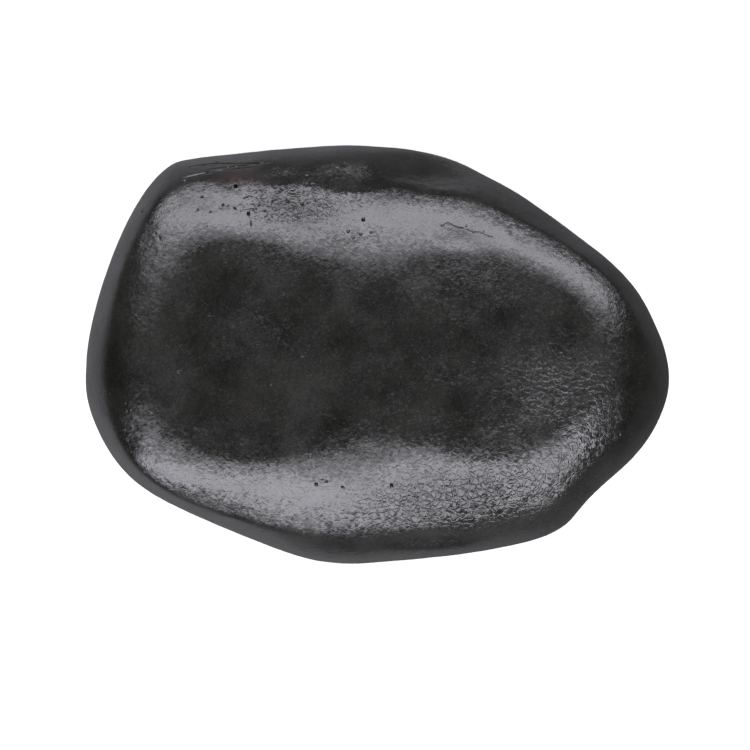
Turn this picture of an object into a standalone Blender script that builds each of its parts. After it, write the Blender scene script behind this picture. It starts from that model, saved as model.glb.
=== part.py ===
"""Basalt massage stone: one solid, hand-sized, flat-bottomed pebble with a broad crown.

The stone is lofted from closed loops. From the bottom up they are the flat foot, the round
belly, the girdle (the widest loop), the flank, the shoulder ridge and the crown. X runs along
the stone, Y across it and Z up from the foot. All sizes are in metres.
"""

from typing import NamedTuple

import bmesh
import bpy
import numpy as np

# Overall sizes.
LENGTH = 0.088
WIDTH = 0.063
THICKNESS = 0.028

# Heights and sizes that can be set by themselves.
GIRDLE_HEIGHT = 0.0145
FOOT_LENGTH = 0.046
FOOT_WIDTH = 0.030
DOME_ALONG = 0.0028
DOME_ACROSS = 0.0010

# How round the flank and the belly are: 1 is a straight cone, 2 is a parabola.
FLANK_ROUNDNESS = 1.9
BELLY_FULLNESS = 0.86
CROWN_EASING = 2.0

# How finely the loops divide the surface.
POINTS_AROUND = 112
BELLY_LOOPS = 9
FLANK_LOOPS = 7
CROWN_LOOPS = 9
PLATEAU_LOOPS = 5
CURVE_STEPS = 24
SIZE_SMOOTHINGS = 16
SHOULDER_SMOOTHINGS = 8
CROWN_SMOOTHINGS = 60

STONE_COLOUR = (0.030, 0.030, 0.029, 1.0)
STONE_ROUGHNESS = 0.42


class Corner(NamedTuple):
    """One corner of the girdle, and the shoulder ridge and crown beside it.

    along and across are shares of the half length and the half width. blend is the share of
    the two sides that the corner's curve takes up. inset places the shoulder ridge in from
    the girdle. The crown falls by drop within reach of the ridge. All three are in metres.
    """

    along: float
    across: float
    blend: float
    inset: float
    drop: float
    reach: float


# Anticlockwise from the blunt tip.
CORNERS = (
    Corner(1.005, -0.080, 0.90, 0.0036, 0.0042, 0.0095),
    Corner(0.850, 0.376, 0.70, 0.0018, 0.0024, 0.0062),
    Corner(0.450, 0.795, 0.90, 0.0031, 0.0027, 0.0085),
    Corner(0.190, 0.995, 0.80, 0.0068, 0.0046, 0.0135),
    Corner(-0.220, 1.005, 1.00, 0.0051, 0.0048, 0.0155),
    Corner(-0.705, 0.925, 0.30, 0.0030, 0.0042, 0.0148),
    Corner(-0.820, 0.760, 0.90, 0.0024, 0.0032, 0.0100),
    Corner(-0.930, 0.430, 1.00, 0.0028, 0.0030, 0.0080),
    Corner(-1.000, 0.030, 1.00, 0.0034, 0.0030, 0.0080),
    Corner(-1.005, -0.240, 0.90, 0.0037, 0.0032, 0.0085),
    Corner(-0.890, -0.560, 0.90, 0.0022, 0.0021, 0.0080),
    Corner(-0.680, -0.745, 0.90, 0.0008, 0.0030, 0.0100),
    Corner(-0.190, -1.010, 0.60, 0.0046, 0.0049, 0.0165),
    Corner(0.260, -0.965, 1.00, 0.0060, 0.0042, 0.0135),
    Corner(0.605, -0.862, 0.90, 0.0044, 0.0032, 0.0102),
    Corner(0.700, -0.688, 0.60, 0.0036, 0.0028, 0.0086),
    Corner(0.915, -0.412, 0.80, 0.0036, 0.0032, 0.0085),
)


class Hollow(NamedTuple):
    """A shallow dent with a soft edge. A negative depth is a swelling.

    along, across and up place it, as shares of the half length, the half width and the
    thickness. reach holds its extents along X, Y and Z.
    """

    along: float
    across: float
    up: float
    reach: tuple
    depth: float


HOLLOWS = {
    "flank_scoop": Hollow(0.20, 0.92, 0.66, (0.0105, 0.0060, 0.0060), 0.0011),
    "crown_waist": Hollow(0.27, 0.54, 0.96, (0.0120, 0.0075, 0.0080), 0.0007),
    "crown_dish": Hollow(-0.39, -0.03, 1.00, (0.0150, 0.0110, 0.0080), 0.0005),
    "crown_swell": Hollow(0.32, -0.29, 0.98, (0.0150, 0.0080, 0.0080), -0.0004),
    "belly_dish": Hollow(-0.70, 0.13, 0.14, (0.0100, 0.0140, 0.0050), 0.0006),
    "lower_flank_flat": Hollow(0.45, -0.86, 0.21, (0.0160, 0.0060, 0.0050), 0.0007),
}


def clear_scene():
    """Removes every object that the scene starts with."""
    for obj in list(bpy.data.objects):
        bpy.data.objects.remove(obj, do_unlink=True)


def make_material(name, colour, roughness):
    """Returns a plain mineral material."""
    material = bpy.data.materials.new(name)
    material.use_nodes = True
    shader = material.node_tree.nodes["Principled BSDF"]
    shader.inputs["Base Color"].default_value = colour
    shader.inputs["Roughness"].default_value = roughness
    shader.inputs["Metallic"].default_value = 0.0
    return material


def rounded_outline(corners):
    """Rows of (along, across, inset, drop, reach) on a smooth closed curve inside the corners.

    Each corner becomes a parabola between the points where it leaves its two sides.
    """
    rows = np.array([(c.along, c.across, c.inset, c.drop, c.reach) for c in corners])
    blends = np.array([c.blend for c in corners])
    steps = np.linspace(0.0, 1.0, CURVE_STEPS)[:, None]
    curve = []
    for i, corner in enumerate(rows):
        before = rows[i - 1]
        after = rows[(i + 1) % len(rows)]
        start = corner + (before - corner) * blends[i] / 2
        end = corner + (after - corner) * blends[i] / 2
        curve.append((1 - steps) ** 2 * start + 2 * steps * (1 - steps) * corner + steps**2 * end)
    return np.concatenate(curve)


def spaced_evenly(curve, count):
    """The closed curve again, as a number of rows that lie evenly along it."""
    closed = np.vstack([curve, curve[:1]])
    steps = np.hypot(*(np.diff(closed[:, :2], axis=0) * (LENGTH, WIDTH)).T)
    travelled = np.concatenate([[0.0], np.cumsum(steps)])
    stops = np.arange(count) * travelled[-1] / count
    return np.column_stack([np.interp(stops, travelled, column) for column in closed.T])


def centred_and_fitted(points, length, width):
    """The points moved and stretched so that their box is length by width about the origin."""
    low = points.min(axis=0)
    high = points.max(axis=0)
    return (points - (low + high) / 2) * (length, width) / (high - low)


def inward_normals(loop):
    """The unit normal of an anticlockwise loop at each point, pointing into it."""
    ahead = np.roll(loop, -1, axis=0) - np.roll(loop, 1, axis=0)
    inward = np.column_stack([-ahead[:, 1], ahead[:, 0]])
    return inward / np.linalg.norm(inward, axis=1)[:, None]


def smoothed_round(values, times):
    """The rows round a closed loop, each drawn towards its neighbours a number of times."""
    for _ in range(times):
        values = (np.roll(values, 1, axis=0) + 2 * values + np.roll(values, -1, axis=0)) / 4
    return values


def at_height(loop, height):
    """The flat loop with a height, or a height for each point."""
    return np.column_stack([loop, np.broadcast_to(height, len(loop))])


def belly_loops(girdle):
    """Loops from the flat foot up to just under the girdle, on a quarter of an oval."""
    foot = centred_and_fitted(girdle, FOOT_LENGTH, FOOT_WIDTH)
    loops = []
    for turn in np.linspace(np.pi / 2, 0.0, BELLY_LOOPS + 1)[:-1]:
        inwards = 1 - np.cos(turn) ** BELLY_FULLNESS
        height = GIRDLE_HEIGHT * (1 - np.sin(turn) ** BELLY_FULLNESS)
        loops.append(at_height(girdle + (foot - girdle) * inwards, height))
    loops[0] = at_height(foot, 0.0)
    return loops


def flank_loops(girdle, shoulder, shoulder_height):
    """Loops from the girdle up to just under the shoulder ridge."""
    loops = []
    for share in np.arange(FLANK_LOOPS) / FLANK_LOOPS:
        inwards = share**FLANK_ROUNDNESS
        height = GIRDLE_HEIGHT + (shoulder_height - GIRDLE_HEIGHT) * share
        loops.append(at_height(girdle + (shoulder - girdle) * inwards, height))
    return loops


def dome_drop(loop):
    """How far the crown's shallow dome has fallen at each point of a flat loop."""
    share = loop / (LENGTH / 2, WIDTH / 2)
    return share**2 @ (DOME_ALONG, DOME_ACROSS)


def crown_loops(shoulder, drop, reach):
    """Loops from the shoulder ridge up over the crown, to the last one round the middle."""
    to_middle = -shoulder
    distance = np.linalg.norm(to_middle, axis=1)
    squareness = np.sum(inward_normals(shoulder) * to_middle, axis=1) / distance
    squareness = smoothed_round(squareness, CROWN_SMOOTHINGS)
    slope = [share * reach for share in np.linspace(0.0, 1.0, CROWN_LOOPS + 1)]
    plateau = np.linspace(0.0, 1.0, PLATEAU_LOOPS + 2)[1:-1]
    loops = []
    for travelled in slope + [reach + (distance - reach) * share for share in plateau]:
        inwards = np.clip(travelled * squareness / reach, 0.0, 1.0)
        loop = shoulder + to_middle * (travelled / distance)[:, None]
        height = THICKNESS - drop * (1 - inwards) ** CROWN_EASING - dome_drop(loop)
        loops.append(at_height(loop, height))
    return loops


def dented(points, outward):
    """The points pushed against their outward directions by every hollow they lie in."""
    moved = points.copy()
    for hollow in HOLLOWS.values():
        share = np.array((hollow.along, hollow.across, hollow.up))
        away = (points - share * (LENGTH / 2, WIDTH / 2, THICKNESS)) / hollow.reach
        push = hollow.depth * np.exp(-np.sum(away**2, axis=1))
        moved -= outward * push[:, None]
    return moved


def loft(loops, middle):
    """Returns a mesh with the first loop closed by one flat face and the last by a fan."""
    shape = bmesh.new()
    rings = []
    for loop in loops:
        verts = [shape.verts.new(point) for point in loop]
        rings.append([shape.edges.new((verts[i - 1], verts[i])) for i in range(len(verts))])
    shape.verts.ensure_lookup_table()
    shape.faces.new([shape.verts[i] for i in range(len(loops[0]))])
    for lower, upper in zip(rings, rings[1:]):
        bmesh.ops.bridge_loops(shape, edges=lower + upper)
    summit = shape.verts.new(middle)
    for edge in rings[-1]:
        shape.faces.new((*edge.verts, summit))
    bmesh.ops.recalc_face_normals(shape, faces=shape.faces)
    return shape


def shape_hollows(shape, foot_count):
    """Pushes in the named hollows, and leaves the flat foot as it is."""
    shape.normal_update()
    shape.verts.ensure_lookup_table()
    free = shape.verts[foot_count:]
    points = np.array([vert.co for vert in free])
    outward = np.array([vert.normal for vert in free])
    for vert, point in zip(free, dented(points, outward)):
        vert.co = point


def fit_to_sizes(shape):
    """Stretches the shape by the last fraction of a millimetre to its exact overall sizes."""
    points = np.array([vert.co for vert in shape.verts])
    flat = centred_and_fitted(points[:, :2], LENGTH, WIDTH)
    heights = points[:, 2] * THICKNESS / points[:, 2].max()
    for vert, point, height in zip(shape.verts, flat, heights):
        vert.co = (*point, height)


def make_stone(material):
    """Makes the stone, the one solid of this object."""
    outline = spaced_evenly(rounded_outline(CORNERS), POINTS_AROUND)
    girdle = centred_and_fitted(outline[:, :2], LENGTH, WIDTH)
    inset, drop, reach = smoothed_round(outline[:, 2:], SIZE_SMOOTHINGS).T
    shoulder = girdle + inward_normals(girdle) * inset[:, None]
    shoulder = smoothed_round(shoulder, SHOULDER_SMOOTHINGS)
    shoulder_height = THICKNESS - drop - dome_drop(shoulder)
    loops = belly_loops(girdle)
    loops += flank_loops(girdle, shoulder, shoulder_height)
    loops += crown_loops(shoulder, drop, reach)
    shape = loft(loops, (0.0, 0.0, THICKNESS))
    shape_hollows(shape, POINTS_AROUND)
    fit_to_sizes(shape)
    mesh = bpy.data.meshes.new("basalt_stone")
    shape.to_mesh(mesh)
    shape.free()
    mesh.shade_smooth()
    mesh.materials.append(material)
    stone = bpy.data.objects.new("basalt_stone", mesh)
    bpy.context.scene.collection.objects.link(stone)
    return stone


clear_scene()
make_stone(make_material("polished_basalt", STONE_COLOUR, STONE_ROUGHNESS))
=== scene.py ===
"""Looks of a basalt massage stone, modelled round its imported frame.

The stone is one worn, polished pebble. A cube is subdivided, rounded and drawn onto a smooth
copy of the frame's solid, then given the swells, chips, seams, pits and hair cracks of dense
basalt. Every length is in metres unless a name says otherwise.
"""

import logging
import math
from dataclasses import dataclass, field
from enum import Enum

import bpy
import numpy as np
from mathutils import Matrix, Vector, noise


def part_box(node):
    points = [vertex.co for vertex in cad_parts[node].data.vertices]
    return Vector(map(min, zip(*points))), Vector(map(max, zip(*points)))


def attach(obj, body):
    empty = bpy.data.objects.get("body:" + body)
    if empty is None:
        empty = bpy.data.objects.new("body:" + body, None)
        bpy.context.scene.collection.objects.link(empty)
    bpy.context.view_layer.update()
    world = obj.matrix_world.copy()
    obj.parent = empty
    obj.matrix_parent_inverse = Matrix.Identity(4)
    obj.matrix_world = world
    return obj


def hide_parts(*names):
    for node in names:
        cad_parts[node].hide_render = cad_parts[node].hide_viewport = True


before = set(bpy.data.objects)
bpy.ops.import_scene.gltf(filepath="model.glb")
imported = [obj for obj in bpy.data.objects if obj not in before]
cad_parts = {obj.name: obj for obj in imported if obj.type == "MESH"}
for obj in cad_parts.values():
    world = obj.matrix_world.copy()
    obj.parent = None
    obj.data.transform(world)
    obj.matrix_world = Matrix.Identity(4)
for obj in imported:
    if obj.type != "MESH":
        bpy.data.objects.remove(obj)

LOG = logging.getLogger("massage_stone")
MM = 0.001
NODE = "basalt_stone"
BODY = "root"


class Side(Enum):
    """The long side of the stone that a studio light stands on."""

    FAR = 1
    NEAR = -1


def deselect_all() -> None:
    """Leaves edit mode and deselects every object."""
    if bpy.context.mode != "OBJECT":
        bpy.ops.object.mode_set(mode="OBJECT")
    bpy.ops.object.select_all(action="DESELECT")


def make_active(piece: bpy.types.Object) -> None:
    """Makes one object the only selected one and the active one.

    Args:
        piece: The object to work on next.
    """
    deselect_all()
    piece.select_set(True)
    bpy.context.view_layer.objects.active = piece


def apply_modifier(piece: bpy.types.Object, kind: str, **settings: object) -> None:
    """Adds a modifier to an object and applies it at once.

    Args:
        piece: The object to change.
        kind: Blender's name for the modifier type.
        settings: Values for the modifier's properties.
    """
    make_active(piece)
    modifier = piece.modifiers.new(kind.lower(), kind)
    for name, value in settings.items():
        setattr(modifier, name, value)
    bpy.ops.object.modifier_apply(modifier=modifier.name)


def vertex_places(piece: bpy.types.Object) -> np.ndarray:
    """Returns the places of an object's vertices as rows of X, Y and Z."""
    places = np.empty(len(piece.data.vertices) * 3, np.float32)
    piece.data.vertices.foreach_get("co", places)
    return places.reshape(-1, 3).astype(float)


def vertex_normals(piece: bpy.types.Object) -> np.ndarray:
    """Returns the unit normals of an object's vertices as rows of X, Y and Z."""
    normals = np.empty(len(piece.data.vertices) * 3, np.float32)
    piece.data.vertex_normals.foreach_get("vector", normals)
    return normals.reshape(-1, 3).astype(float)


def set_vertex_places(piece: bpy.types.Object, places: np.ndarray) -> None:
    """Moves an object's vertices.

    Args:
        piece: The object whose vertices move.
        places: The new places, one row of X, Y and Z for each vertex.
    """
    piece.data.vertices.foreach_set("co", places.astype(np.float32).ravel())
    piece.data.update()


def read_attribute(piece: bpy.types.Object, name: str) -> np.ndarray:
    """Returns one number for each vertex, from an attribute of the mesh."""
    values = np.empty(len(piece.data.vertices), np.float32)
    piece.data.attributes[name].data.foreach_get("value", values)
    return values.astype(float)


def write_attribute(piece: bpy.types.Object, name: str, values: np.ndarray) -> None:
    """Keeps one number for each vertex in an attribute of the mesh, for the material to read.

    Args:
        piece: The object whose mesh keeps them.
        name: The attribute's name.
        values: One number for each vertex.
    """
    attribute = piece.data.attributes.get(name)
    if attribute is None:
        attribute = piece.data.attributes.new(name, "FLOAT", "POINT")
    attribute.data.foreach_set("value", values.astype(np.float32))


class NodeBench:
    """Adds and joins the nodes of one material."""

    def __init__(self, name: str) -> None:
        """Starts a new material.

        Args:
            name: The material's name.
        """
        self.material = bpy.data.materials.new(name)
        self.material.use_nodes = True
        self.tree = self.material.node_tree
        self.shader = self.tree.nodes["Principled BSDF"]
        self.place = self.tree.nodes.new("ShaderNodeTexCoord").outputs["Object"]
        self.wavy_place = self.wavy(0.9 * MM, 0.5 * MM)

    def add(self, kind: str, inputs: dict[str, object], **settings: object) -> bpy.types.Node:
        """Adds a node.

        Args:
            kind: The node's type, without its ShaderNode prefix.
            inputs: Values, or other nodes' output sockets, by the name of the input.
            settings: Values for the node's own properties.

        Returns:
            The new node.
        """
        node = self.tree.nodes.new("ShaderNode" + kind)
        for name, value in settings.items():
            setattr(node, name, value)
        for name, value in inputs.items():
            self.feed(node, name, value)
        return node

    def feed(self, node: bpy.types.Node, name: str | int, value: object) -> None:
        """Sets one input of a node, or links it to another node's output.

        Args:
            node: The node.
            name: The input's name or number.
            value: A value or an output socket.
        """
        if isinstance(value, bpy.types.NodeSocket):
            self.tree.links.new(value, node.inputs[name])
        else:
            node.inputs[name].default_value = value

    def attribute(self, name: str) -> bpy.types.NodeSocket:
        """Returns the value of one of the piece's own attributes."""
        return self.add("Attribute", {}, attribute_name=name).outputs["Fac"]

    def wavy(self, size: float, reach: float) -> bpy.types.NodeSocket:
        """Returns the place on the piece, moved about so that cells lose their straight edges.

        Args:
            size: The size of the waves.
            reach: How far they move a place.

        Returns:
            The moved place.
        """
        inputs = {"Vector": self.place, "Scale": 1.0 / size, "Detail": 2.0}
        waves = self.add("TexNoise", inputs).outputs["Color"]
        inputs = {0: waves, 1: (reach, reach, reach), 2: self.place}
        return self.add("VectorMath", inputs, operation="MULTIPLY_ADD").outputs[0]

    def noise(self, size: float, detail: float = 3.0, roughness: float = 0.5) -> bpy.types.NodeSocket:
        """Returns soft noise whose blotches are about a given size.

        Args:
            size: The size of the largest blotches.
            detail: How many finer layers lie on them.
            roughness: How strong the finer layers are.

        Returns:
            A socket from 0 to 1.
        """
        inputs = {"Vector": self.place, "Scale": 1.0 / size, "Detail": detail, "Roughness": roughness}
        return self.add("TexNoise", inputs).outputs["Fac"]

    def cells(self, size: float, feature: str, spread: float = 1.0) -> bpy.types.Node:
        """Returns a node of scattered cells of about a given size.

        Args:
            size: The distance from one cell to the next.
            feature: Which of Blender's cell distances it measures.
            spread: How unevenly the cells lie, from 0 to 1.

        Returns:
            The node, for its Distance and Color outputs.
        """
        inputs = {"Vector": self.wavy_place, "Scale": 1.0 / size, "Randomness": spread}
        return self.add("TexVoronoi", inputs, feature=feature)

    def span(
        self, value: bpy.types.NodeSocket, low: float, high: float, start: float, end: float
    ) -> bpy.types.NodeSocket:
        """Returns a value eased from one range onto another.

        Args:
            value: The value to read.
            low: Where the reading starts.
            high: Where it ends.
            start: What it gives at low.
            end: What it gives at high.

        Returns:
            The eased value.
        """
        inputs = {"Value": value, "From Min": low, "From Max": high, "To Min": start, "To Max": end}
        node = self.add("MapRange", inputs, interpolation_type="SMOOTHSTEP")
        return node.outputs["Result"]

    def math(self, operation: str, *values: object) -> bpy.types.NodeSocket:
        """Returns the result of a sum on one, two or three values."""
        node = self.add("Math", {}, operation=operation)
        for number, value in enumerate(values):
            self.feed(node, number, value)
        return node.outputs["Value"]

    def blend(self, share: object, first: object, second: object) -> bpy.types.NodeSocket:
        """Returns a colour between two others.

        Args:
            share: How much of the second there is, from 0 to 1.
            first: The first colour.
            second: The second colour.

        Returns:
            The mixed colour.
        """
        node = self.add("Mix", {}, data_type="RGBA")
        for name, value in (("Factor_Float", share), ("A_Color", first), ("B_Color", second)):
            socket = next(entry for entry in node.inputs if entry.identifier == name)
            if isinstance(value, bpy.types.NodeSocket):
                self.tree.links.new(value, socket)
            else:
                socket.default_value = value
        return next(entry for entry in node.outputs if entry.identifier == "Result_Color")


@dataclass(frozen=True)
class BasaltFinish:
    """Dense black basalt, tumbled and oiled to a silky polish.

    The crown is polished and the flanks are duller. The polish follows the attribute
    "polish", the coarse skin "peel", the rusty streak "rust" and the pits' painted shade "hollow".
    """

    name: str = "polished_basalt_finish"
    black: tuple[float, float, float, float] = (0.0034, 0.0034, 0.0026, 1.0)
    grey: tuple[float, float, float, float] = (0.0088, 0.0087, 0.0070, 1.0)
    pale_grain: tuple[float, float, float, float] = (0.015, 0.015, 0.0145, 1.0)
    # Painted shade: the near-black colour blended into pores, pits and cracks where shade falls.
    pore_shade: tuple[float, float, float, float] = (0.003, 0.003, 0.003, 1.0)
    rust: tuple[float, float, float, float] = (0.030, 0.014, 0.014, 1.0)
    polished_roughness: float = 0.25
    dull_roughness: float = 0.34
    coarse_roughness: float = 0.10
    hollow_roughness: float = 0.08
    hollow_shine: float = 0.12
    refraction: float = 1.60
    crystal_size: float = 0.50 * MM
    crystal_tilt: float = 0.045
    flank_tilt: float = 0.03
    coarse_tilt: float = 0.30
    grain_size: float = 0.55 * MM
    grain_depth: float = 0.05 * MM
    peel_size: float = 0.90 * MM
    peel_depth: float = 0.06 * MM
    pore_spacing: float = 1.9 * MM
    pore_depth: float = 0.10 * MM

    def build(self) -> bpy.types.Material:
        """Returns the finished material."""
        bench = NodeBench(self.name)
        pores = self.pores(bench)
        colour = self.colour(bench, pores)
        bench.feed(bench.shader, "Base Color", colour)
        bench.feed(bench.shader, "Roughness", self.roughness(bench))
        bench.feed(bench.shader, "Normal", self.relief(bench, pores))
        # Painted shade: the hollows also lose most of their shine, standing in for the shade that
        # dims their reflections.
        shine = bench.span(bench.attribute("hollow"), 0.0, 1.0, 0.5, self.hollow_shine)
        bench.feed(bench.shader, "Specular IOR Level", shine)
        bench.shader.inputs["IOR"].default_value = self.refraction
        return bench.material

    def pores(self, bench: NodeBench) -> bpy.types.NodeSocket:
        """Returns 1 inside scattered open pores, and 0 between them.

        Args:
            bench: The material's nodes.

        Returns:
            The mask.
        """
        cells = bench.cells(self.pore_spacing, "F1")
        share = bench.add("SeparateColor", {"Color": cells.outputs["Color"]}).outputs["Red"]
        width = bench.span(share, 0.55, 1.0, 0.0, 0.15)
        wobble = bench.math("MULTIPLY", bench.noise(0.25 * MM), 0.09)
        reach = bench.math("SUBTRACT", bench.math("ADD", width, 0.03), wobble)
        inside = bench.math("SUBTRACT", reach, cells.outputs["Distance"])
        return bench.span(inside, 0.0, 0.03, 0.0, 1.0)

    def colour(self, bench: NodeBench, pores: bpy.types.NodeSocket) -> bpy.types.NodeSocket:
        """Returns the stone's colour: mottled black, pale grains and rust, with painted shade in the
        pores, pits and cracks.

        Args:
            bench: The material's nodes.
            pores: The mask of the pores.

        Returns:
            The colour.
        """
        clouds = bench.noise(9.0 * MM, 6.0, 0.62)
        mottled = bench.blend(bench.span(clouds, 0.36, 0.68, 0.0, 1.0), self.black, self.grey)
        grains = bench.cells(0.55 * MM, "F1")
        share = bench.add("SeparateColor", {"Color": grains.outputs["Color"]}).outputs["Green"]
        rare = bench.span(share, 0.86, 0.97, 0.0, 1.0)
        core = bench.span(grains.outputs["Distance"], 0.12, 0.42, 1.0, 0.0)
        speckled = bench.blend(bench.math("MULTIPLY", rare, core), mottled, self.pale_grain)
        streak = bench.math("MULTIPLY", bench.attribute("rust"), bench.noise(1.4 * MM, 4.0))
        rusty = bench.blend(streak, speckled, self.rust)
        # Painted shade: the pores and the carved hollows are darkened towards a near-black colour.
        return bench.blend(bench.math("MAXIMUM", pores, bench.attribute("hollow")), rusty, self.pore_shade)

    def roughness(self, bench: NodeBench) -> bpy.types.NodeSocket:
        """Returns how dull the surface is, from place to place.

        Args:
            bench: The material's nodes.

        Returns:
            The roughness.
        """
        polish = bench.attribute("polish")
        base = bench.span(polish, 0.0, 1.0, self.dull_roughness, self.polished_roughness)
        coarse = bench.math("MULTIPLY_ADD", bench.attribute("peel"), self.coarse_roughness, base)
        smear = bench.math("MULTIPLY_ADD", bench.noise(7.0 * MM, 6.0, 0.65), 0.32, -0.16)
        grit = bench.math("MULTIPLY_ADD", bench.noise(0.35 * MM, 2.0), 0.20, -0.10)
        hollow = bench.math("MULTIPLY", bench.attribute("hollow"), self.hollow_roughness)
        return bench.math("ADD", bench.math("ADD", coarse, hollow), bench.math("ADD", smear, grit))

    def crystals(self, bench: NodeBench) -> bpy.types.NodeSocket:
        """Returns the normal, tilted a little its own way in each grain of the stone.

        Args:
            bench: The material's nodes.

        Returns:
            The normal.
        """
        polish = bench.attribute("polish")
        even = bench.math("MULTIPLY_ADD", polish, self.crystal_tilt, self.flank_tilt)
        tilt = bench.math("MULTIPLY_ADD", bench.attribute("peel"), self.coarse_tilt, even)
        cells = bench.cells(self.crystal_size, "F1").outputs["Color"]
        middle = bench.add("VectorMath", {0: cells, 1: (0.5, 0.5, 0.5)}, operation="SUBTRACT")
        lean = bench.add("VectorMath", {0: middle.outputs[0], "Scale": tilt}, operation="SCALE")
        normal = bench.add("NewGeometry", {}).outputs["Normal"]
        leant = bench.add("VectorMath", {0: lean.outputs[0], 1: normal}, operation="ADD")
        return bench.add("VectorMath", {0: leant.outputs[0]}, operation="NORMALIZE").outputs[0]

    def relief(self, bench: NodeBench, pores: bpy.types.NodeSocket) -> bpy.types.NodeSocket:
        """Returns the normal, bent by the grain, the coarse skin and the pores.

        Args:
            bench: The material's nodes.
            pores: The mask of the pores.

        Returns:
            The normal.
        """
        grain = bench.noise(self.grain_size, 3.0, 0.6)
        gaps = bench.cells(self.peel_size, "DISTANCE_TO_EDGE").outputs["Distance"]
        peel = bench.math("MULTIPLY", bench.span(gaps, 0.0, 0.18, 1.0, 0.0), bench.attribute("peel"))
        layers = (
            (grain, self.grain_depth, False),
            (peel, self.peel_depth, True),
            (pores, self.pore_depth, True),
        )
        normal = self.crystals(bench)
        for height, depth, inwards in layers:
            inputs = {"Height": height, "Distance": depth, "Normal": normal}
            normal = bench.add("Bump", inputs, invert=inwards).outputs["Normal"]
        return normal


@dataclass(frozen=True)
class PaleFloorFinish:
    """A matt, near-white table top that is as bright far off as it is under the lights."""

    name: str = "pale_floor_finish"
    light: tuple[float, float, float, float] = (0.570, 0.565, 0.550, 1.0)
    dark: tuple[float, float, float, float] = (0.545, 0.540, 0.525, 1.0)
    mottle_size: float = 14.0 * MM
    glow_near: float = 0.42
    glow_far: float = 0.95
    glow_start: float = 0.12
    glow_end: float = 0.55

    def build(self) -> bpy.types.Material:
        """Returns the finished material."""
        bench = NodeBench(self.name)
        mottle = bench.noise(self.mottle_size, 4.0, 0.6)
        reach = bench.add("VectorMath", {0: bench.place}, operation="LENGTH").outputs["Value"]
        glow = bench.span(reach, self.glow_start, self.glow_end, self.glow_near, self.glow_far)
        bench.feed(bench.shader, "Base Color", bench.blend(mottle, self.dark, self.light))
        bench.feed(bench.shader, "Emission Strength", glow)
        bench.shader.inputs["Emission Color"].default_value = (1.0, 1.0, 1.0, 1.0)
        bench.shader.inputs["Roughness"].default_value = 0.9
        bench.shader.inputs["Specular IOR Level"].default_value = 0.0
        return bench.material


@dataclass
class SmoothGuide:
    """A smooth copy of the frame's faceted solid, which the visible stone is drawn onto."""

    merge_distance: float = 0.01 * MM
    ridge_angle: float = math.radians(13.0)
    ridge_crease: float = 0.15
    levels: int = 3

    def build(self) -> bpy.types.Object:
        """Returns the guide, to be removed once the stone fits it."""
        guide = bpy.data.objects.new("guide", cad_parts[NODE].data.copy())
        bpy.context.scene.collection.objects.link(guide)
        make_active(guide)
        bpy.ops.object.mode_set(mode="EDIT")
        bpy.ops.mesh.select_all(action="SELECT")
        bpy.ops.mesh.remove_doubles(threshold=self.merge_distance)
        bpy.ops.mesh.tris_convert_to_quads(
            face_threshold=math.radians(40.0), shape_threshold=math.radians(70.0)
        )
        bpy.ops.mesh.select_all(action="DESELECT")
        bpy.ops.mesh.select_mode(type="EDGE")
        bpy.ops.mesh.edges_select_sharp(sharpness=self.ridge_angle)
        bpy.ops.transform.edge_crease(value=self.ridge_crease)
        bpy.ops.object.mode_set(mode="OBJECT")
        apply_modifier(guide, "SUBSURF", levels=self.levels, render_levels=self.levels)
        return guide


@dataclass(frozen=True)
class Patch:
    """An oval area of the stone's upper side with a soft edge.

    centre and reach are X and Y in metres, turn is the angle of the long reach, and strength
    is the patch's weight in its middle.
    """

    centre: tuple[float, float]
    reach: tuple[float, float]
    turn: float = 0.0
    strength: float = 1.0

    def distance(self, places: np.ndarray) -> np.ndarray:
        """Returns how far out of the oval each place lies, as a share: 1 is its edge.

        Args:
            places: Rows of X, Y and Z.

        Returns:
            One number for each row.
        """
        away = places[:, :2] - self.centre
        cos, sin = math.cos(self.turn), math.sin(self.turn)
        turned = away @ np.array(((cos, -sin), (sin, cos)))
        return np.hypot(*(turned / self.reach).T)

    def weight(self, places: np.ndarray) -> np.ndarray:
        """Returns the strength in the middle of the patch, falling softly to 0 outside it."""
        return self.strength * np.exp(-self.distance(places) ** 2)


@dataclass(frozen=True)
class Scoop:
    """A shallow shell-shaped flake, knocked out long ago. A negative depth is a swelling."""

    patch: Patch
    depth: float

    def cut(self, places: np.ndarray) -> np.ndarray:
        """Returns how deep the flake goes at each place, in metres."""
        return self.depth * np.clip(1.0 - self.patch.distance(places) ** 2, 0.0, 1.0) ** 2


@dataclass(frozen=True)
class Groove:
    """A seam, crack or pit that follows a path on the stone's upper side.

    path holds X and Y in millimetres, and a pit's path is one point.
    """

    path: tuple[tuple[float, float], ...]
    half_width: float
    depth: float

    def distance(self, places: np.ndarray) -> np.ndarray:
        """Returns the distance of each place from the path, seen from above, in metres.

        Args:
            places: Rows of X, Y and Z.

        Returns:
            One number for each row.
        """
        points = np.array(self.path) * MM
        nearest = np.linalg.norm(places[:, :2] - points[0], axis=1)
        for start, end in zip(points, points[1:]):
            along = end - start
            share = np.clip((places[:, :2] - start) @ along / (along @ along), 0.0, 1.0)
            gap = places[:, :2] - start - share[:, None] * along
            nearest = np.minimum(nearest, np.linalg.norm(gap, axis=1))
        return nearest

    def cut(self, places: np.ndarray) -> np.ndarray:
        """Returns how deep the groove goes at each place, in metres."""
        share = np.clip(self.distance(places) / self.half_width, 0.0, 1.0)
        return self.depth * (1.0 - share**2) ** 2


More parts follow.
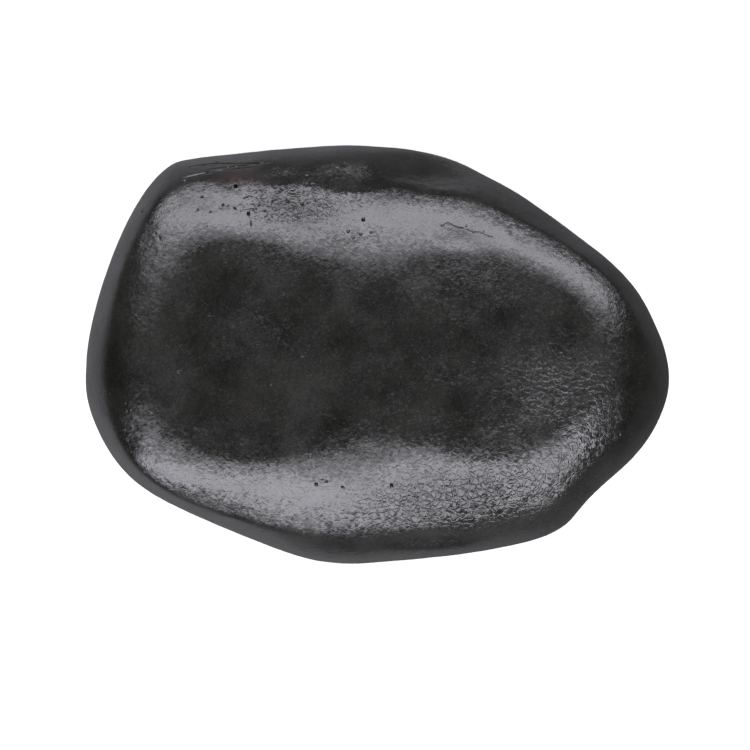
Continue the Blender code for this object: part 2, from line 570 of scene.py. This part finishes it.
@dataclass(frozen=True)
class Seam:
    """A weathered line between two layers of the rock, low on the far flank.

    start and end are its ends along X, height is its middle's height, tilt is how much it
    climbs along X, and it fades out towards both ends.
    """

    start: float
    end: float
    height: float
    tilt: float
    half_width: float
    depth: float

    def cut(self, places: np.ndarray, margin: float = 0.0) -> np.ndarray:
        """Returns how deep the seam goes at each place, in metres.

        Args:
            places: Rows of X, Y and Z.
            margin: How much wider than it is the seam is taken to be.

        Returns:
            One number for each row.
        """
        along = (places[:, 0] - self.start) / (self.end - self.start)
        fade = np.clip(4.0 * along * (1.0 - along), 0.0, 1.0) ** 0.5
        level = self.height + (along - 0.5) * (self.end - self.start) * self.tilt
        half_width = self.half_width + margin
        share = np.clip(np.abs(places[:, 2] - level) / half_width, 0.0, 1.0)
        return self.depth * fade * (1.0 - share**2) ** 2 * (places[:, 1] > 0.0)


def wandered(places: np.ndarray, size: float, reach: float) -> np.ndarray:
    """Returns places moved about a little, so that what is read there loses its straight lines.

    Args:
        places: Rows of X, Y and Z.
        size: The size of the wanderings.
        reach: How far they go.

    Returns:
        The moved places.
    """
    moves = np.array([noise.noise_vector(Vector(place) / size) for place in places])
    return places + reach * moves


def pit(along: float, across: float, radius: float, depth: float) -> Groove:
    """Returns a small open pit. All four are in millimetres."""
    return Groove(((along, across),), radius * MM, depth * MM)


@dataclass
class Weathering:
    """What time and water did to the stone: swells, flakes, seams, cracks and pits."""

    swells: tuple[tuple[float, float], ...] = (
        (15.0 * MM, 0.36 * MM),
        (5.5 * MM, 0.13 * MM),
        (2.2 * MM, 0.045 * MM),
    )
    flakes: tuple[Scoop, ...] = (
        Scoop(Patch((-14.4 * MM, 26.6 * MM), (4.6 * MM, 1.8 * MM), math.radians(2.0)), 0.30 * MM),
        Scoop(Patch((-22.5 * MM, 25.6 * MM), (8.0 * MM, 4.0 * MM)), -0.36 * MM),
        Scoop(Patch((-4.0 * MM, 26.4 * MM), (9.0 * MM, 2.8 * MM)), 0.38 * MM),
        Scoop(Patch((7.6 * MM, 27.2 * MM), (9.6 * MM, 3.6 * MM), math.radians(-9.0)), 0.75 * MM),
        Scoop(Patch((11.2 * MM, 17.2 * MM), (4.6 * MM, 2.2 * MM), math.radians(-12.0)), 0.12 * MM),
        Scoop(Patch((8.0 * MM, -27.4 * MM), (8.6 * MM, 1.8 * MM), math.radians(3.0)), 0.30 * MM),
    )
    folds: tuple[Seam, ...] = (
        Seam(-28.5 * MM, -16.3 * MM, 19.5 * MM, 0.05, 0.26 * MM, 0.085 * MM),
        Seam(-25.4 * MM, -16.3 * MM, 20.2 * MM, -0.12, 0.22 * MM, 0.060 * MM),
    )
    gaps: tuple[Seam, ...] = (
        Seam(-29.2 * MM, -24.6 * MM, 21.3 * MM, 0.02, 0.34 * MM, 0.16 * MM),
        Seam(-25.6 * MM, -22.0 * MM, 21.0 * MM, -0.05, 0.22 * MM, 0.09 * MM),
        Seam(-22.6 * MM, -17.6 * MM, 20.7 * MM, -0.10, 0.16 * MM, 0.05 * MM),
    )
    cracks: tuple[Groove, ...] = (
        Groove(((-18.9, 20.7), (-18.6, 19.2), (-18.7, 17.4)), 0.11 * MM, 0.09 * MM),
        Groove(((9.3, 18.9), (10.4, 19.3), (11.7, 18.7), (12.6, 18.5)), 0.18 * MM, 0.06 * MM),
        Groove(((12.6, 18.5), (14.6, 17.9), (17.0, 17.2)), 0.12 * MM, 0.04 * MM),
        Groove(((-19.8, 23.0), (-19.0, 23.4)), 0.13 * MM, 0.10 * MM),
        Groove(((-15.6, 22.6), (-14.8, 22.9)), 0.15 * MM, 0.12 * MM),
        Groove(((-13.6, 22.9), (-13.1, 22.3)), 0.16 * MM, 0.14 * MM),
        Groove(((-12.7, 22.0), (-11.9, 21.9)), 0.14 * MM, 0.11 * MM),
        Groove(((-12.2, 20.4), (-11.5, 20.1)), 0.15 * MM, 0.12 * MM),
    )
    pits: tuple[Groove, ...] = (
        pit(-21.0, 24.7, 0.36, 0.60),
        pit(-25.9, 23.2, 0.26, 0.20),
        pit(-26.5, 21.5, 0.24, 0.13),
        pit(-22.8, 22.0, 0.26, 0.20),
        pit(-18.9, 20.8, 0.32, 0.40),
        pit(-24.6, 21.1, 0.22, 0.12),
        pit(-21.0, 21.5, 0.22, 0.12),
        pit(-17.5, 22.0, 0.24, 0.18),
        pit(-16.5, 21.1, 0.24, 0.20),
        pit(-11.1, 22.1, 0.26, 0.28),
        pit(-9.6, 25.1, 0.32, 0.22),
        pit(-2.0, 19.8, 0.30, 0.34),
        pit(-4.2, 17.9, 0.24, 0.24),
        pit(-2.6, 17.5, 0.24, 0.26),
        pit(-0.9, 17.9, 0.22, 0.20),
        pit(-3.5, 17.0, 0.22, 0.20),
        pit(2.0, -19.2, 0.30, 0.34),
        pit(-9.0, -19.0, 0.26, 0.26),
        pit(-7.4, -18.6, 0.22, 0.20),
        pit(-5.2, -19.4, 0.26, 0.28),
    )
    coarse_skin: tuple[Patch, ...] = (
        Patch((12.0 * MM, -20.8 * MM), (15.0 * MM, 4.6 * MM), math.radians(6.0)),
        Patch((29.0 * MM, -12.5 * MM), (9.0 * MM, 4.2 * MM), math.radians(42.0), 0.25),
        Patch((-20.0 * MM, -19.0 * MM), (14.0 * MM, 4.5 * MM), math.radians(-4.0), 0.22),
        Patch((-12.0 * MM, 21.6 * MM), (6.5 * MM, 2.6 * MM)),
        Patch((26.0 * MM, -4.5 * MM), (10.0 * MM, 6.0 * MM), 0.0, 0.5),
    )
    skin_grain: float = 1.2 * MM
    skin_depth: float = 0.08 * MM
    wander_size: float = 1.1 * MM
    wander_reach: float = 0.22 * MM
    seam_wander_size: float = 5.0 * MM
    seam_wander_reach: float = 0.28 * MM
    seam_margin: float = 0.30 * MM
    loose_pits: int = 90
    seed: int = 7

    def swell(self, stone: bpy.types.Object) -> None:
        """Lifts and sinks the whole surface in gentle swells of three sizes.

        Args:
            stone: The stone to change.
        """
        for number, (size, height) in enumerate(self.swells):
            texture = bpy.data.textures.new(f"swell_{number}", "CLOUDS")
            texture.noise_scale = size
            texture.noise_depth = 1
            apply_modifier(stone, "DISPLACE", texture=texture, strength=height, mid_level=0.5)
            bpy.data.textures.remove(texture)

    def roughen(self, stone: bpy.types.Object) -> None:
        """Breaks the polish into a cobbled skin where the stone is coarser.

        Args:
            stone: The stone to change.
        """
        weights = self.coarse_weights(vertex_places(stone), vertex_normals(stone))
        group = stone.vertex_groups.new(name="coarse_skin")
        for index in np.flatnonzero(weights > 0.02):
            group.add([int(index)], float(weights[index]), "REPLACE")
        texture = bpy.data.textures.new("skin", "VORONOI")
        texture.noise_scale = self.skin_grain
        settings = {"strength": -self.skin_depth, "mid_level": 0.3, "vertex_group": group.name}
        apply_modifier(stone, "DISPLACE", texture=texture, **settings)
        bpy.data.textures.remove(texture)
        stone.vertex_groups.clear()

    def coarse_weights(self, places: np.ndarray, normals: np.ndarray) -> np.ndarray:
        """Returns how coarse the skin is at each place, from 0 to 1.

        Args:
            places: Rows of X, Y and Z.
            normals: The surface's unit normals there.

        Returns:
            One number for each row.
        """
        upper = np.clip(normals[:, 2] * 4.0 - 1.0, 0.0, 1.0)
        strongest = np.max([patch.weight(places) for patch in self.coarse_skin], axis=0)
        return strongest * upper

    def carve(self, stone: bpy.types.Object) -> None:
        """Cuts the flakes, seams, cracks and named pits into the upper side.

        Args:
            stone: The stone to change.
        """
        grooves = self.cracks + self.pits
        margin = 0.30 * MM
        centres, upper = face_centres(stone)
        near = np.zeros(len(centres), bool)
        for groove in grooves:
            near |= groove.distance(centres) < groove.half_width + margin
        divide_faces(stone, near & upper, 3)
        centres, _ = face_centres(stone)
        layered = wandered(centres, self.seam_wander_size, self.seam_wander_reach)
        close = sum(seam.cut(layered, self.seam_margin) for seam in self.folds + self.gaps) > 0.0
        divide_faces(stone, close, 4)
        places = vertex_places(stone)
        normals = vertex_normals(stone)
        read_at = wandered(places, self.wander_size, self.wander_reach)
        upper = normals[:, 2] > 0.05
        flaked = sum(scoop.cut(read_at) for scoop in self.flakes) * upper
        grooved = sum(groove.cut(read_at) for groove in grooves) * upper
        layered = wandered(places, self.seam_wander_size, self.seam_wander_reach)
        grooved += sum(gap.cut(layered) for gap in self.gaps)
        folded = sum(fold.cut(layered) for fold in self.folds)
        # The depth of the cracks, pits and gaps is kept in "hollow" for the finish to paint shade
        # into; the folds are left out of it.
        write_attribute(stone, "hollow", grooved)
        set_vertex_places(stone, places - normals * (flaked + grooved + folded)[:, None])

    def pepper(self, stone: bpy.types.Object) -> None:
        """Sinks small open pits all over the stone, at places drawn by a fixed seed.

        Args:
            stone: The stone to change.
        """
        draw = np.random.default_rng(self.seed)
        places = vertex_places(stone)
        centres = places[draw.integers(0, len(places), self.loose_pits)]
        radii = draw.uniform(0.14, 0.30, self.loose_pits) * MM
        depths = radii * draw.uniform(0.25, 0.55, self.loose_pits)
        middles, _ = face_centres(stone)
        near = np.zeros(len(middles), bool)
        for centre, radius in zip(centres, radii):
            near |= np.linalg.norm(middles - centre, axis=1) < radius + 0.20 * MM
        divide_faces(stone, near, 2)
        places = vertex_places(stone)
        sunk = np.zeros(len(places))
        for centre, radius, depth in zip(centres, radii, depths):
            share = np.clip(np.linalg.norm(places - centre, axis=1) / radius, 0.0, 1.0)
            sunk = np.maximum(sunk, depth * (1.0 - share**2) ** 2)
        # The loose pits' depth is added to "hollow", for the finish to paint shade into them.
        write_attribute(stone, "hollow", sunk + read_attribute(stone, "hollow"))
        set_vertex_places(stone, places - vertex_normals(stone) * sunk[:, None])


def face_centres(piece: bpy.types.Object) -> tuple[np.ndarray, np.ndarray]:
    """Returns the middles of an object's faces, and which of them face upwards."""
    count = len(piece.data.polygons)
    centres = np.empty(count * 3, np.float32)
    normals = np.empty(count * 3, np.float32)
    piece.data.polygons.foreach_get("center", centres)
    piece.data.polygons.foreach_get("normal", normals)
    return centres.reshape(-1, 3).astype(float), normals.reshape(-1, 3)[:, 2] > 0.0


def divide_faces(piece: bpy.types.Object, chosen: np.ndarray, cuts: int) -> None:
    """Divides some of an object's faces into smaller ones.

    Args:
        piece: The object to change.
        chosen: True for each face to divide.
        cuts: How many times each of their edges is cut.
    """
    make_active(piece)
    bpy.ops.object.mode_set(mode="EDIT")
    bpy.ops.mesh.select_mode(type="FACE")
    bpy.ops.mesh.select_all(action="DESELECT")
    bpy.ops.object.mode_set(mode="OBJECT")
    piece.data.polygons.foreach_set("select", chosen)
    bpy.ops.object.mode_set(mode="EDIT")
    bpy.ops.mesh.subdivide(number_cuts=cuts)
    bpy.ops.object.mode_set(mode="OBJECT")


@dataclass
class Stone:
    """The visible pebble."""

    cuts: int = 64
    relax_rounds: int = 2
    relax_steps: int = 12
    flank_top: float = 13.0 * MM
    polish_from: float = 0.62
    polish_to: float = 0.86
    # The depth at which a hollow's painted shade is full.
    full_shade_depth: float = 0.26 * MM
    rust_patch: Patch = Patch((-20.6 * MM, 26.3 * MM), (3.2 * MM, 1.0 * MM), math.radians(4.0))
    weathering: Weathering = field(default_factory=Weathering)
    finish: BasaltFinish = field(default_factory=BasaltFinish)

    def build(self) -> bpy.types.Object:
        """Returns the finished stone."""
        guide = SmoothGuide().build()
        stone = self.blank()
        self.draw_onto(stone, guide)
        centres, upwards = face_centres(stone)
        divide_faces(stone, upwards & (centres[:, 2] > self.flank_top), 1)
        apply_modifier(stone, "SHRINKWRAP", target=guide)
        bpy.data.objects.remove(guide, do_unlink=True)
        self.weathering.swell(stone)
        self.weathering.roughen(stone)
        self.weathering.carve(stone)
        self.weathering.pepper(stone)
        self.settle(stone)
        self.dress(stone)
        return stone

    def blank(self) -> bpy.types.Object:
        """Returns an oval ball of even faces, as large as the frame's box."""
        low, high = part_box(NODE)
        deselect_all()
        bpy.ops.mesh.primitive_cube_add(size=(high - low).x, location=(low + high) / 2)
        stone = bpy.context.object
        stone.name = "worn_stone"
        bpy.ops.object.mode_set(mode="EDIT")
        bpy.ops.mesh.select_all(action="SELECT")
        bpy.ops.mesh.subdivide(number_cuts=self.cuts)
        bpy.ops.transform.tosphere(value=1.0)
        bpy.ops.object.mode_set(mode="OBJECT")
        make_active(stone)
        bpy.ops.object.transform_apply(location=True, rotation=True, scale=True)
        places = vertex_places(stone)
        centre = np.array((low + high) / 2)
        reach = np.abs(places - centre).max(axis=0)
        set_vertex_places(stone, centre + (places - centre) / reach * np.array(high - low) / 2)
        return stone

    def draw_onto(self, stone: bpy.types.Object, guide: bpy.types.Object) -> None:
        """Draws the ball onto the guide, evening out its faces in between.

        Args:
            stone: The ball.
            guide: The smooth shape that it takes on.
        """
        for _ in range(self.relax_rounds):
            apply_modifier(stone, "SHRINKWRAP", target=guide)
            apply_modifier(stone, "SMOOTH", factor=0.5, iterations=self.relax_steps)
        apply_modifier(stone, "SHRINKWRAP", target=guide)

    def settle(self, stone: bpy.types.Object) -> None:
        """Presses what the swells pushed under the table back up to it."""
        places = vertex_places(stone)
        places[:, 2] = np.maximum(places[:, 2], 0.0)
        set_vertex_places(stone, places)

    def dress(self, stone: bpy.types.Object) -> None:
        """Shades the stone smooth and gives it its finish and the finish's attributes.

        Args:
            stone: The stone to dress.
        """
        stone.data.shade_smooth()
        places = vertex_places(stone)
        normals = vertex_normals(stone)
        rise = np.clip((normals[:, 2] - self.polish_from) / (self.polish_to - self.polish_from), 0, 1)
        values = {
            "polish": rise * rise * (3.0 - 2.0 * rise),
            "peel": self.weathering.coarse_weights(places, normals),
            # Painted shade: the hollows' depth becomes a share from 0 to 1 that darkens their colour
            # and shine.
            "hollow": np.clip(read_attribute(stone, "hollow") / self.full_shade_depth, 0.0, 1.0),
            "rust": self.rust_patch.weight(places) * (normals[:, 2] > 0.0),
        }
        for name, value in values.items():
            write_attribute(stone, name, value)
        stone.data.materials.clear()
        stone.data.materials.append(self.finish.build())


@dataclass(frozen=True)
class Glow:
    """One band of soft light: its name, elevation, height and radiance on each side."""

    name: str
    elevation: float
    height: float
    far_radiance: float
    near_radiance: float


@dataclass
class Studio:
    """A pale table under two long soft lights, seen from straight above."""

    floor_size: float = 12.0
    light_reach: float = 0.75
    far_ends: tuple[float, float] = (-0.84, 1.10)
    near_ends: tuple[float, float] = (-0.84, 0.68)
    light_colour: tuple[float, float, float] = (0.936, 0.922, 1.0)
    backdrop: float = 0.97
    room_light: tuple[tuple[float, float], ...] = (
        (-1.00, 0.22),
        (-0.90, 0.34),
        (-0.70, 0.62),
        (-0.44, 0.86),
        (-0.32, 0.24),
        (-0.18, 0.08),
        (0.05, 0.06),
        (0.20, 0.03),
        (1.00, 0.03),
    )
    dim_from: float = -0.10
    dim_to: float = 0.55
    dim_share: float = 0.30
    glows: tuple[Glow, ...] = (
        Glow("strip", math.radians(41.0), 0.34, 6.0, 7.2),
        Glow("feather", math.radians(62.0), 0.28, 1.9, 2.9),
        Glow("apron", math.radians(20.0), 0.22, 0.4, 0.8),
    )
    lens: float = 150.0
    sensor: float = 36.0
    view_width: float = 0.1128
    view_offset: tuple[float, float] = (-0.0004, -0.0030)
    girdle_share: float = 0.52

    def build(self) -> None:
        """Builds the floor, the lights, the sky and the camera."""
        self.lay_floor()
        for side in Side:
            for glow in self.glows:
                self.hang_light(side, glow)
        self.paint_sky()
        self.place_camera()
        bpy.context.scene.view_settings.view_transform = "Standard"

    def lay_floor(self) -> None:
        """Lays the table top under the stone."""
        deselect_all()
        bpy.ops.mesh.primitive_plane_add(size=self.floor_size, location=(0.0, 0.0, 0.0))
        floor = bpy.context.object
        floor.name = "pale_floor"
        floor.data.materials.append(PaleFloorFinish().build())
        floor.visible_glossy = False

    def hang_light(self, side: Side, glow: Glow) -> None:
        """Hangs one long soft light beside the stone.

        Args:
            side: The side that it hangs on.
            glow: How high and how bright it is.
        """
        light = bpy.data.lights.new(f"{glow.name}_{side.name.lower()}", "AREA")
        light.shape = "RECTANGLE"
        light.color = self.light_colour
        left, right = self.far_ends if side is Side.FAR else self.near_ends
        radiance = glow.far_radiance if side is Side.FAR else glow.near_radiance
        light.size = right - left
        light.size_y = glow.height
        light.energy = radiance * math.pi * light.size * light.size_y
        lamp = bpy.data.objects.new(light.name, light)
        bpy.context.scene.collection.objects.link(lamp)
        lamp.location = (
            (left + right) / 2.0,
            side.value * self.light_reach * math.cos(glow.elevation),
            self.light_reach * math.sin(glow.elevation),
        )
        facing = Vector((0.0, -lamp.location.y, -lamp.location.z))
        lamp.rotation_euler = facing.to_track_quat("-Z", "Y").to_euler()

    def paint_sky(self) -> None:
        """Hangs a white backdrop, and makes the dim room that the stone mirrors.

        room_light gives the room's brightness at a direction's rise, from straight down to
        straight up. Towards +X the room dims to a share of that.
        """
        world = bpy.data.worlds.new("studio_sky")
        world.use_nodes = True
        bpy.context.scene.world = world
        tree = world.node_tree
        coords = tree.nodes.new("ShaderNodeTexCoord")
        split = tree.nodes.new("ShaderNodeSeparateXYZ")
        rise = tree.nodes.new("ShaderNodeMapRange")
        rise.inputs["From Min"].default_value = -1.0
        dim = tree.nodes.new("ShaderNodeMapRange")
        dim.inputs["From Min"].default_value = self.dim_from
        dim.inputs["From Max"].default_value = self.dim_to
        dim.inputs["To Min"].default_value = 1.0
        dim.inputs["To Max"].default_value = self.dim_share
        ramp = tree.nodes.new("ShaderNodeValToRGB")
        stops = ramp.color_ramp.elements
        for stop, (_, level) in zip(stops, (self.room_light[0], self.room_light[-1])):
            stop.color = (*(level * part for part in self.light_colour), 1.0)
        for height, level in self.room_light[1:-1]:
            stop = stops.new((height + 1.0) / 2.0)
            stop.color = (*(level * part for part in self.light_colour), 1.0)
        path = tree.nodes.new("ShaderNodeLightPath")
        room = tree.nodes["Background"]
        backdrop = tree.nodes.new("ShaderNodeBackground")
        backdrop.inputs["Color"].default_value = (self.backdrop, self.backdrop, self.backdrop, 1.0)
        either = tree.nodes.new("ShaderNodeMixShader")
        links = (
            (coords.outputs["Generated"], split.inputs["Vector"]),
            (split.outputs["Z"], rise.inputs["Value"]),
            (split.outputs["X"], dim.inputs["Value"]),
            (rise.outputs["Result"], ramp.inputs["Fac"]),
            (ramp.outputs["Color"], room.inputs["Color"]),
            (dim.outputs["Result"], room.inputs["Strength"]),
            (path.outputs["Is Camera Ray"], either.inputs[0]),
            (room.outputs[0], either.inputs[1]),
            (backdrop.outputs[0], either.inputs[2]),
            (either.outputs[0], tree.nodes["World Output"].inputs["Surface"]),
        )
        for source, target in links:
            tree.links.new(source, target)

    def place_camera(self) -> None:
        """Puts the camera straight above the stone, level with its outline's widest loop."""
        low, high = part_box(NODE)
        level = self.girdle_share * high.z
        camera = bpy.data.cameras.new("camera")
        camera.lens = self.lens
        camera.sensor_width = self.sensor
        holder = bpy.data.objects.new("camera", camera)
        bpy.context.scene.collection.objects.link(holder)
        height = level + self.view_width * self.lens / self.sensor
        holder.location = (*self.view_offset, height)
        bpy.context.scene.camera = holder


def main() -> None:
    """Builds the stone and the studio."""
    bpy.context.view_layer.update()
    stone = Stone().build()
    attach(stone, BODY)
    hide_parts(NODE)
    LOG.info("%s: %d faces", stone.name, len(stone.data.polygons))
    Studio().build()


if __name__ == "__main__":
    logging.basicConfig(level=logging.INFO)
    main()
